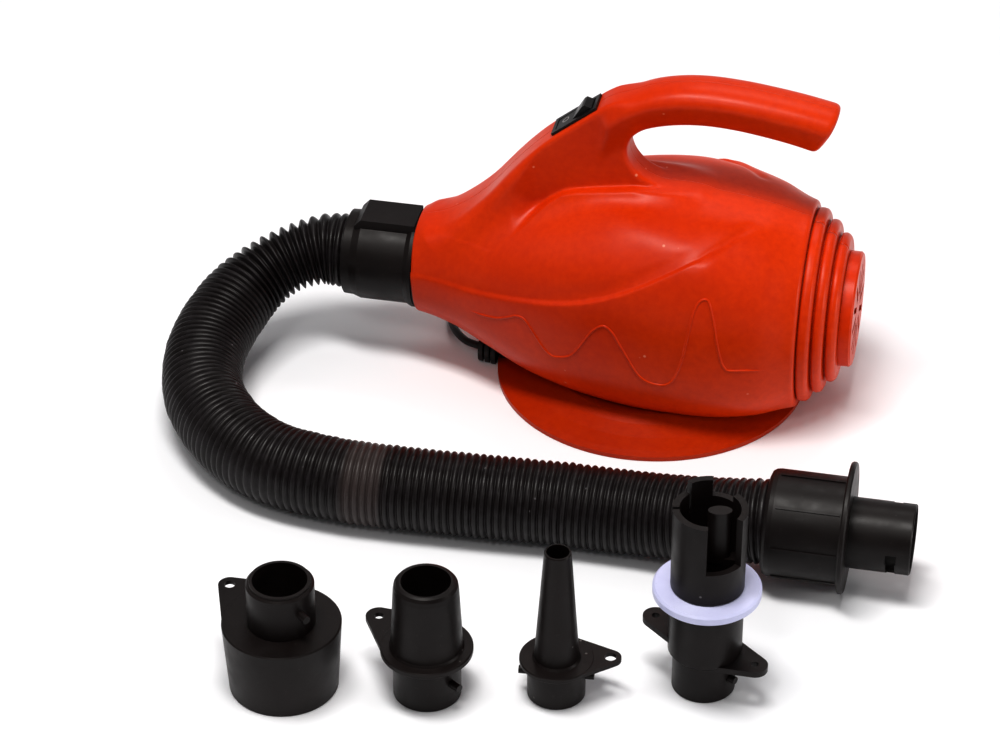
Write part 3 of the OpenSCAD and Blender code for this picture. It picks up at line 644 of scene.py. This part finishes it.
def grip_section():
    """Distance from the handle's middle to its surface, by direction in degrees above level."""
    q = np.linspace(0, 1, 60)
    y_low = (13.5 - 5.0 * q) * np.clip(1 - q ** 3.2, 0, 1) ** 0.5
    z_low = 3.6 - 15.6 * q
    a = np.linspace(0, 90, 60)
    y_up = 13.5 * np.cos(np.radians(a)) ** (2 / 2.25)
    z_up = 3.6 + 8.4 * np.sin(np.radians(a)) ** (2 / 2.25)
    y = np.concatenate([y_low[::-1], y_up[1:]])
    z = np.concatenate([z_low[::-1], z_up[1:]])
    ang = np.degrees(np.arctan2(z, y))
    grid = np.arange(-90, 91, 1.0)
    r = np.interp(grid, ang, np.hypot(y, z))
    for _ in range(6):
        r[1:-1] = (r[:-2] + 2 * r[1:-1] + r[2:]) / 4
    return grid, r


GRIP_ANG, GRIP_R = grip_section()


def grip_tables():
    """Place along the handle and height above its middle, on the side grid."""
    X, Z = np.meshgrid(SIDE_X, SIDE_Z, indexing="ij")
    t = np.linspace(0, len(GRIP) - 1, 200)
    spine = through(GRIP, t)
    xs = X.copy()
    for _ in range(4):
        v = Z - np.interp(xs, spine[:, 0], spine[:, 1])
        lean = np.tan(np.radians(25 * np.clip((xs - 24) / 60, 0, 1.05)))
        xs = X - v * lean
    return xs, Z - np.interp(xs, spine[:, 0], spine[:, 1])


GRIP_ALONG, GRIP_UP = grip_tables()


def grip_field(x, y, z):
    along = side_sample(GRIP_ALONG, x, z)
    v = side_sample(GRIP_UP, x, z)
    r = np.hypot(y, v)
    ang = np.degrees(np.arctan2(v, np.abs(y)))
    d = r - np.interp(ang, GRIP_ANG, GRIP_R)
    d = smooth_max(d, (along - 84.6) * 0.95, 3.4)
    return smooth_max(d, -24 - x, 3)


# Height of the leaf-shaped side panel's upper edge.
LEAF_EDGE = [(-80, 82), (-67, 92.9), (-62.7, 96.8), (-58.2, 101.4), (-52.2, 106.9),
             (-45.5, 111.4), (-38.9, 113.4), (-26.2, 115.5), (-9.7, 118), (10, 118)]


def housing_field(x, y, z):
    """About the signed distance to the housing's outside, before its panels' relief."""
    body = body_field(x, y, z)
    step = ramp01(x, -72, -58)
    wide = smooth_min(body, stem_field(x, y, z, 0, 6.5), 16)
    narrow = smooth_min(body, stem_field(x, y, z, 3.2 * step, 6.5 - 4.3 * step), 16 - 12 * step)
    edge = np.interp(x, *np.transpose(LEAF_EDGE))
    # Under the panel's upper edge the stem is wide, and it steps back to narrow above it.
    wide = smooth_max(wide, z - edge, 1.0)
    d = smooth_min(narrow, wide, 0.8)
    return smooth_min(d, grip_field(x, y, z), 7)


# ---------------------------------------------------------------- the housing shells

def surface_net(field, low, high, step):
    """A closed quad mesh on the zero level of a field, negative inside, with even cells."""
    axes = [np.arange(low[k], high[k] + step, step) for k in range(3)]
    F = field(*np.meshgrid(*axes, indexing="ij"))
    inside = F < 0
    cells = tuple(n - 1 for n in F.shape)
    size = cells[0] * cells[1] * cells[2]
    total, count, edges = np.zeros((3, size)), np.zeros(size), []
    strides = np.array([cells[1] * cells[2], cells[2], 1])
    for a in range(3):
        b, c = (a + 1) % 3, (a + 2) % 3
        lo, hi = [slice(None)] * 3, [slice(None)] * 3
        lo[a], hi[a] = slice(0, -1), slice(1, None)
        A, B = F[tuple(lo)], F[tuple(hi)]
        flip = inside[tuple(lo)] != inside[tuple(hi)]
        idx = np.argwhere(flip)
        t = A[flip] / (A[flip] - B[flip])
        pos = idx.astype(float)
        pos[:, a] += t
        keep = (idx[:, b] > 0) & (idx[:, c] > 0) & (idx[:, b] < cells[b]) & (idx[:, c] < cells[c])
        quad = []
        for db, dc in ((0, 0), (1, 0), (1, 1), (0, 1)):
            cell = idx.copy()
            cell[:, b] -= db
            cell[:, c] -= dc
            ok = ((cell >= 0) & (cell < cells)).all(1)
            flat = (cell * strides).sum(1)
            for k in range(3):
                total[k] += np.bincount(flat[ok], pos[ok, k], size)
            count += np.bincount(flat[ok], minlength=size)
            quad.append(flat)
        quad = np.stack(quad, 1)[keep]
        out = inside[tuple(lo)][flip][keep]
        edges.append(np.where(out[:, None], quad, quad[:, ::-1]))
    used = np.flatnonzero(count)
    number = np.full(size, -1)
    number[used] = np.arange(len(used))
    verts = (total[:, used] / count[used]).T * step + np.array(low)
    return verts, number[np.vstack(edges)]


def gradient(field, p, e=0.25):
    g = np.empty_like(p)
    for k in range(3):
        d = np.zeros(3)
        d[k] = e
        g[:, k] = field(*(p + d).T) - field(*(p - d).T)
    return g / (2 * e)


def settle(field, p, rounds=3, most=0.6):
    """Moves points onto the zero level of the field."""
    for _ in range(rounds):
        g = gradient(field, p)
        n2 = np.maximum((g * g).sum(1), 0.05)
        move = -(field(*p.T) / n2)[:, None] * g
        far = np.linalg.norm(move, axis=1, keepdims=True)
        p = p + move * np.minimum(1, most / np.maximum(far, 1e-9))
    return p


def line_offsets(p, line, ups):
    """Signed distance above a line on the housing, and how far along it, for each point."""
    best = np.full(len(p), 1e9)
    signed, along = np.zeros(len(p)), np.zeros(len(p))
    for i in range(len(line) - 1):
        a, e = line[i], line[i + 1] - line[i]
        t = np.clip((p - a) @ e / (e @ e), 0, 1)
        q = p - a - t[:, None] * e
        d = np.linalg.norm(q, axis=1)
        up = ups[i] * (1 - t[:, None]) + ups[i + 1] * t[:, None]
        near = d < best
        best = np.where(near, d, best)
        signed = np.where(near, np.where((q * up).sum(1) > 0, d, -d), signed)
        along = np.where(near, (i + t) / (len(line) - 1), along)
    return signed, along


def on_housing(points):
    """Points (x, z) seen from the side of -Y, laid on the housing's base surface."""
    out = []
    for x, z in points:
        lo, hi = 0.0, 75.0
        for _ in range(40):
            mid = (lo + hi) / 2
            inside = housing_field(*(np.array([c]) for c in (x, -mid, z)))[0] < 0
            lo, hi = (mid, hi) if inside else (lo, mid)
        out.append((x, -lo, z))
    return np.array(out)


# The long crest that sweeps along the side, from the nose up to the rear.
SWOOSH = [(-121, -26.8, 60.5), (-104, -29.8, 60), (-90.4, -35, 60.6), (-73.2, -42.9, 63.9),
          (-58.2, -49, 67.5), (-46.4, -52.9, 70.1), (-34.8, -55.9, 73.2), (-24.4, -57.8, 76.7),
          (-14.2, -58.7, 80.8), (-4.4, -58.3, 85.3), (5.3, -57, 90.1), (14.7, -54.4, 94.8),
          (22.4, -51.5, 98.3), (30, -47.7, 101.6), (37.1, -41.2, 105.5), (43.9, -32.9, 108.4),
          (49.3, -25.3, 109.8), (54, -19, 110.3)]
# The crest of the leaf-shaped panel above it.
LEAF_CREST = [(-30, -21, 112.5), (-21, -25, 111), (-10, -31, 110), (1.4, -37.3, 108.6),
              (12, -42.5, 106), (23, -47, 103), (32, -50.5, 99)]
# The thin raised wave along the lower half of the side, as x and z.
WAVE = [(-90, 49.8), (-81.6, 50.3), (-73, 52.1), (-65.4, 56), (-61.7, 58.3), (-57, 58.1),
        (-52.3, 52.5), (-46.8, 44.8), (-42.3, 41.1), (-37.7, 41.7), (-33.2, 43.7), (-30.5, 46.2),
        (-26.2, 53.2), (-21.9, 60.7), (-18.5, 64.9), (-15.1, 67), (-12.5, 66.3), (-9.8, 63.7),
        (-6.2, 57.7), (-2.6, 51.5), (0.9, 45.4), (4.4, 40.7), (9.6, 37.9), (16.4, 37.6),
        (20.5, 40.7), (22.9, 46), (25.2, 54), (26.6, 62.3), (28.2, 72.1), (29.6, 80.3),
        (31.6, 85.2), (33.9, 87.1), (36.4, 86.2), (38.5, 80.8), (40.3, 74.3), (42, 65.4),
        (43.4, 59.3), (44.9, 53.8), (46.5, 50.9), (48.3, 49.5), (57.2, 49.4), (66.7, 48.8)]


def panel_relief(p, normal):
    """How far the side's panels stand out at each point: the swoosh and the leaf's crest."""
    line = np.array(SWOOSH)
    out = unit(gradient(housing_field, line))
    ups = np.cross(out, unit(np.gradient(line, axis=0)))
    u, t = line_offsets(p, line, ups)
    side = ramp01(-p[:, 1], 14, 27) * ramp01(normal[:, 1], 0.02, -0.12)
    size = 1.5 * ramp01(t, 0.0, 0.35) + 0.5
    size = size * (1 - ramp01(t, 0.74, 0.86))
    ledge = size * (1 - ramp01(u, -0.4, 1.5)) * np.exp(np.minimum(u, 0) / 17)
    groove = -1.1 * ramp01(t, 0.70, 0.80) * (1 - ramp01(t, 0.93, 1.0)) * np.exp(-(u / 2.6) ** 2)
    valley = -0.7 * ramp01(t, 0.2, 0.5) * np.exp(-((u - 4.5) / 4) ** 2)
    valley = valley * (1 - ramp01(t, 0.74, 0.9))
    crest = np.array(LEAF_CREST)
    d = np.full(len(p), 1e9)
    for a, b in zip(crest[:-1], crest[1:]):
        e = b - a
        k = np.clip((p - a) @ e / (e @ e), 0, 1)
        d = np.minimum(d, np.linalg.norm(p - a - k[:, None] * e, axis=1))
    bulge = 1.1 * np.exp(-(d / 11.0) ** 2)
    return side * (ledge + groove + valley + bulge)


def strand(points, radius, sink, sides=8):
    """A thin raised line half sunk in the housing, tapered at its ends."""
    base = on_housing(through(points, np.linspace(0, len(points) - 1, 5 * len(points))))
    path, s = even_path(base, 0.8)
    normal = unit(gradient(housing_field, path))
    path = path + normal * (panel_relief(path, normal) - sink)[:, None]
    taper = np.minimum(1, np.minimum(s, s[-1] - s) / 12 + 0.15)
    return tube(path, radius * taper, sides)


# Radius and height of the foot's top, which the shells sit on.
FOOT_TOP = [(0, 11), (54, 11), (60, 8.4), (68, 5.8), (76, 3.8), (80, 2.6), (80.01, -20),
            (200, -20)]


def shell_field(x, y, z):
    """The housing's wall with its openings, for both shells at once."""
    outer = housing_field(x, y, z)
    d = np.maximum(outer, -(outer + WALL))
    # Openings for the outlet duct at the nose and for the rings at the rear.
    r = np.hypot(y, z - AXIS_Z)
    d = smooth_max(d, -np.maximum(r - 24.3, x + 110), 0.5)
    d = np.maximum(d, -np.maximum(r - 46.5, 70 - x))
    foot = np.interp(np.hypot(x, y), *np.transpose(FOOT_TOP)) + 0.1
    d = np.maximum(d, foot - z)
    # Way out of the strain relief.
    relief = np.maximum(np.hypot(y + 5, z - 6.5) - 6.1, np.maximum(-76 - x, x + 58.8))
    d = np.maximum(d, -relief)
    # The switch's window, and the seat of its bezel in the rounded top of the ramp.
    along = (x - SWITCH_X) * RAMP_COS + (z - SWITCH_Z) * RAMP_SIN
    out = (z - SWITCH_Z) * RAMP_COS - (x - SWITCH_X) * RAMP_SIN
    window = np.maximum(np.maximum(np.abs(along) - 13.4, np.abs(y) - 6.5), np.abs(out) - 15)
    seat = np.maximum(np.maximum(np.abs(along) - 14.5, np.abs(y) - 7.7), np.abs(out - 8) - 8.0)
    return np.maximum(np.maximum(d, -window), -seat)


def make_shell_mesh():
    """The half on the side of -Y, cut flat along the seam, a hair away from the other half."""
    cell = 1.0
    verts, quads = surface_net(shell_field, (-124, -68, 0), (97, 4, 180), cell)
    verts = settle(shell_field, verts)
    outer = np.abs(housing_field(*verts.T)) < 0.25
    normal = unit(gradient(housing_field, verts))
    move = np.where(outer, panel_relief(verts, normal), 0)
    verts = verts + normal * move[:, None]
    mesh = bpy.data.meshes.new("half")
    mesh.from_pydata(verts.tolist(), [], quads.tolist())
    bm = bmesh.new()
    bm.from_mesh(mesh)
    bpy.data.meshes.remove(mesh)
    cut = bmesh.ops.bisect_plane(bm, geom=bm.verts[:] + bm.edges[:] + bm.faces[:], dist=1e-4,
                                 plane_co=(0, -SEAM_GAP / 2, 0), plane_no=(0, 1, 0),
                                 clear_outer=True)
    rim = [e for e in cut["geom_cut"] if isinstance(e, bmesh.types.BMEdge)]
    bmesh.ops.triangle_fill(bm, edges=rim, use_beauty=True, normal=(0, 1, 0))
    bm.verts.index_update()
    verts = np.array([v.co[:] for v in bm.verts])
    faces = [[v.index for v in f.verts] for f in bm.faces]
    bm.free()
    return verts, faces


# Where each ring at the rear starts, with its radius, and where the last one ends.
RING_STEPS = [(79.0, 49.4), (86.0, 44.2), (92.2, 38.0)]
REAR_X = 98.2


def ring_profile():
    """The stepped rear: three rounded rings with deep grooves, as (radius, x), closed."""
    p = [(46.8, 73.0), (50.6, 76.5), (49.2, 78.6), (46.2, 78.9), (46.2, 79.9)]
    following = RING_STEPS[1:] + [(REAR_X, None)]
    for (x, r), (end, inner) in zip(RING_STEPS, following):
        p += [(r - 0.5, x + 0.9), (r, x + 1.6), (r + 0.1, x + 2.8), (r - 0.25, end - 2.0),
              (r - 1.3, end - 0.9)]
        if inner:
            p += [(r - 2.4, end - 0.35), (inner - 3.0, end - 0.15), (inner - 3.0, end + 0.85)]
        else:
            p += [(r - 2.6, end - 0.2), (26.6, end)]
    # The way back along the inside.
    p += [(26.6, 94.5), (33, 93.6), (33.5, 88.5), (38, 87.4), (39, 82.0), (43.2, 80.6),
          (44.0, 75.0)]
    return rounded(p, 0.55)


def make_housing():
    """Both halves: one is made, with its rings and its raised wave, and mirrored for the other."""
    ring_v, ring_f = lathe(ring_profile(), 97, arc=179.6, start=-179.8)
    wave = strand(WAVE, 0.75, 0.15)
    verts, faces = merge(make_shell_mesh(), (along_x(ring_v), ring_f), wave)
    for side, hand in ((1, "left"), (-1, "right")):
        obj = new_object("housing_" + hand, verts * np.array([1, side, 1]), faces, ORANGE,
                         "pump")
        clean(obj)
        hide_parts("shell_" + hand)


make_housing()


# ---------------------------------------------------------------- the other pieces

CAD_LOOKS = {
    "foot": ORANGE_FOOT_PAINTED_SHADE, "end_cap": ORANGE, "base_plate": BLACK, "base_pad": BASE_RUBBER,
    "outlet_duct": BLACK, "dust_screen": SCREEN, "shell_screws": STEEL, "foot_screws": STEEL,
    "switch_housing": SWITCH, "switch_rocker": SWITCH, "switch_terminals": BRASS,
    "field_core": LAMINATIONS, "field_coils": COPPER_X, "front_bracket": MOTOR_BLACK,
    "rear_bracket": MOTOR_BLACK, "bracket_screws": STEEL, "front_bearing": SHAFT_STEEL,
    "rear_bearing": SHAFT_STEEL, "mount_rings": BASE_RUBBER, "brush_holders": BRASS,
    "carbon_brushes": CARBON, "brush_springs": STEEL, "suppressor": YELLOW, "motor_leads": BLUE,
    "motor_shaft": SHAFT_STEEL, "armature_core": LAMINATIONS, "armature_windings": COPPER_R,
    "commutator": COMMUTATOR, "impeller": OFF_WHITE, "impeller_nut": STEEL,
    "diffuser": MOTOR_BLACK, "fan_cover": MOTOR_BLACK, "cord_clamp": BLACK,
    "strain_relief": CORD_BLACK,
    "inner_cord": CORD_BLACK, "cord_tie": SWITCH, "plug_body": CORD_BLACK, "plug_pins": BRASS,
    "hose_coupling": BLACK, "coupling_gasket": BASE_RUBBER, "hose_end_cuff": BLACK,
    "hose_end_tube": BLACK, "nozzle_large": BLACK, "nozzle_medium": BLACK, "nozzle_small": BLACK,
    "valve_adaptor": BLACK, "valve_seal_ring": SEAL,
}


def dress_cad_nodes():
    for name, material in CAD_LOOKS.items():
        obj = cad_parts[name]
        for place in obj.material_slots:
            place.link = "OBJECT"
            place.material = material


dress_cad_nodes()


def on_ramp(points):
    """From the frame of the switch to the pump's: +X up the ramp, +Z out of it."""
    p = np.asarray(points, float)
    return np.stack([p[:, 0] * RAMP_COS - p[:, 2] * RAMP_SIN + SWITCH_X, p[:, 1],
                     p[:, 0] * RAMP_SIN + p[:, 2] * RAMP_COS + SWITCH_Z], 1)


MARK_H = 0.16


def make_marks():
    """The ring for off and the bar for on, as thin raised marks on the rocker's two faces."""
    ring, faces = lathe([(1.5, 0), (2.1, 0), (2.1, MARK_H), (1.5, MARK_H)], 40)
    verts = ring + np.array([-6.4, 0, 1.22])
    obj = new_object("mark_off", on_ramp(verts), faces, MARK, "rocker")
    clean(obj)
    bar = rounded([(-2.0, -0.35), (2.0, -0.35), (2.0, 0.35), (-2.0, 0.35)], 0.3)
    n = len(bar)
    low = np.column_stack([bar[:, 1], bar[:, 0], np.zeros(n)])
    verts = np.vstack([low, low + [0, 0, MARK_H]])
    a = math.atan2(3.2, 8.2)
    verts = np.stack([verts[:, 0] * math.cos(a) - verts[:, 2] * math.sin(a) + 3.2, verts[:, 1],
                      verts[:, 0] * math.sin(a) + verts[:, 2] * math.cos(a) + 2.92], 1)
    sides = [[k, (k + 1) % n, n + (k + 1) % n, n + k] for k in range(n)]
    obj = new_object("mark_on", on_ramp(verts), sides + [list(range(n))[::-1],
                     list(range(n, 2 * n))], MARK, "rocker", flat=True)
    clean(obj)


make_marks()


# ---------------------------------------------------------------- floor and light

# Radius in metres of the bend between the floor and the wall behind it.
BEND = 1.2


def make_stage():
    """A flat pale floor that bends up into a wall far behind the pump."""
    floor = bpy.data.materials.new("floor")
    floor.use_nodes = True
    bsdf = floor.node_tree.nodes["Principled BSDF"]
    bsdf.inputs["Base Color"].default_value = (0.92, 0.93, 0.96, 1)
    bsdf.inputs["Roughness"].default_value = 0.9
    bsdf.inputs["Specular IOR Level"].default_value = 0.1
    rows = [(-6.0, 0.0), (BEND, 0.0)]
    rows += [(BEND + BEND * math.sin(a), BEND - BEND * math.cos(a))
             for a in np.linspace(0.1, 1.5, 12)]
    rows += [(2 * BEND, 4.0)]
    verts = [(x * 1000, y * 1000, z * 1000) for y, z in rows for x in (-5, 5)]
    faces = [(2 * i, 2 * i + 1, 2 * i + 3, 2 * i + 2) for i in range(len(rows) - 1)]
    obj = new_object("floor", verts, faces, floor)


LIGHT_COLOUR = (1, 0.98, 0.95)
LIGHTS_AIM = (0, 0, 0.08)


def area_light(name, azimuth, elevation, distance, size, power):
    """A soft rectangular light, placed by its degrees round from -Y and above the floor."""
    data = bpy.data.lights.new(name, "AREA")
    data.shape = "RECTANGLE"
    data.size, data.size_y = size
    data.energy = power
    data.color = LIGHT_COLOUR
    obj = bpy.data.objects.new(name, data)
    a, e = math.radians(azimuth), math.radians(elevation)
    way = Vector((math.sin(a) * math.cos(e), -math.cos(a) * math.cos(e), math.sin(e)))
    obj.location = Vector(LIGHTS_AIM) + way * distance
    obj.rotation_euler = way.to_track_quat("Z", "Y").to_euler()
    bpy.context.scene.collection.objects.link(obj)


def make_lights():
    world = bpy.data.worlds.new("world")
    bpy.context.scene.world = world
    world.use_nodes = True
    back = world.node_tree.nodes["Background"]
    back.inputs["Color"].default_value = (1, 0.98, 0.97, 1)
    back.inputs["Strength"].default_value = 0.26
    area_light("top", -20, 74, 1.6, (0.85, 0.32), 22)
    area_light("front", -7, 47, 1.8, (0.24, 0.24), 3)
    area_light("right", 80, 10, 1.5, (0.30, 0.5), 5)
    area_light("left", -70, 42, 1.8, (0.8, 0.8), 1.5)
    area_light("behind", 175, 58, 1.8, (0.9, 0.5), 6)
    view = bpy.context.scene.view_settings
    view.view_transform = "Standard"
    view.gamma = 0.80


make_stage()
make_lights()
